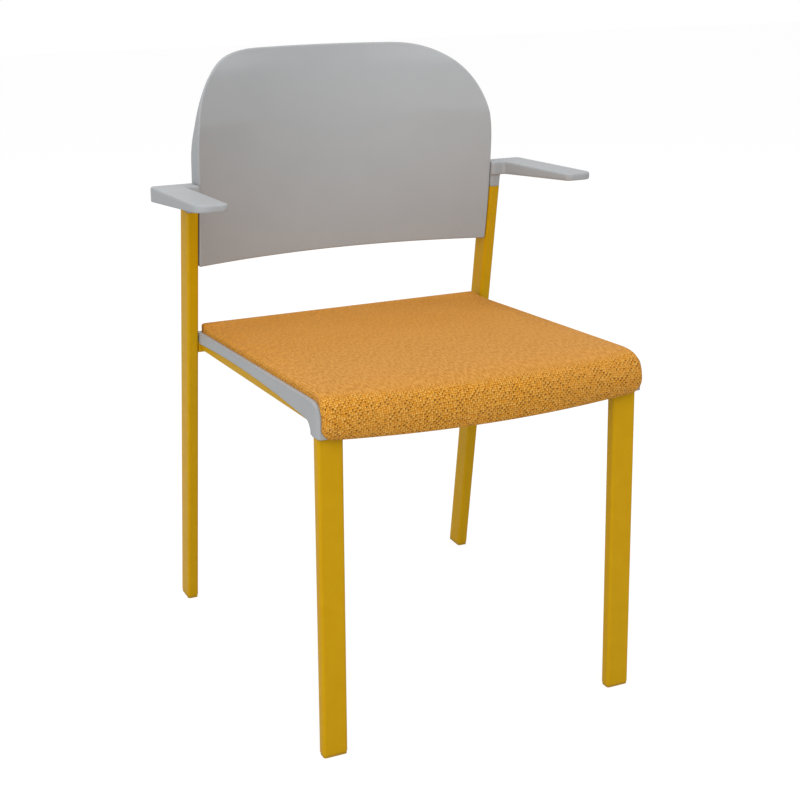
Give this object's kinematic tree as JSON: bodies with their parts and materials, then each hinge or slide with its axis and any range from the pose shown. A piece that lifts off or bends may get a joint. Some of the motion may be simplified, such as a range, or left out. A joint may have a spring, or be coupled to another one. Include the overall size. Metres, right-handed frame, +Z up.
{
  "type": "armchair",
  "caption": "Stacking armchair with a bent steel tube frame, upholstered seat pad in a moulded pan, concave moulded back and open armrests.",
  "frame": {"origin": "centre of the chair's outline on the floor", "axes": "+Z up, the sitter faces -Y, +X to the sitter's left, which is the right-hand side seen from the front"},
  "size_m": [0.589, 0.582, 0.8475],
  "materials": {
    "frame_paint": "satin mustard yellow powder coat",
    "glide_plastic": "moulded plastic in the frame's yellow",
    "grey_moulding": "fine matt grain, mid grey",
    "seat_fabric": "knobbly knitted wool cover, ochre",
    "plywood": "bare birch plywood",
    "zinc_steel": "bright zinc plate",
    "insert_brass": "turned brass"
  },
  "bodies": {
    "root": {"left_front_leg": "frame_paint", "right_front_leg": "frame_paint", "left_rear_leg": "frame_paint", "right_rear_leg": "frame_paint", "front_cross_tube": "frame_paint", "rear_cross_tube": "frame_paint", "front_left_glide": "glide_plastic", "front_right_glide": "glide_plastic", "rear_left_glide": "glide_plastic", "rear_right_glide": "glide_plastic", "seat_pan": "grey_moulding", "seat_board": "plywood", "seat_cushion": "seat_fabric", "seat_screws": "zinc_steel", "seat_tee_nuts": "zinc_steel", "backrest_shell": "grey_moulding", "back_screws": "zinc_steel", "back_rivet_nuts": "zinc_steel", "armrest_inserts": "insert_brass", "left_armrest": "grey_moulding", "right_armrest": "grey_moulding"}
  },
  "joints": []
}
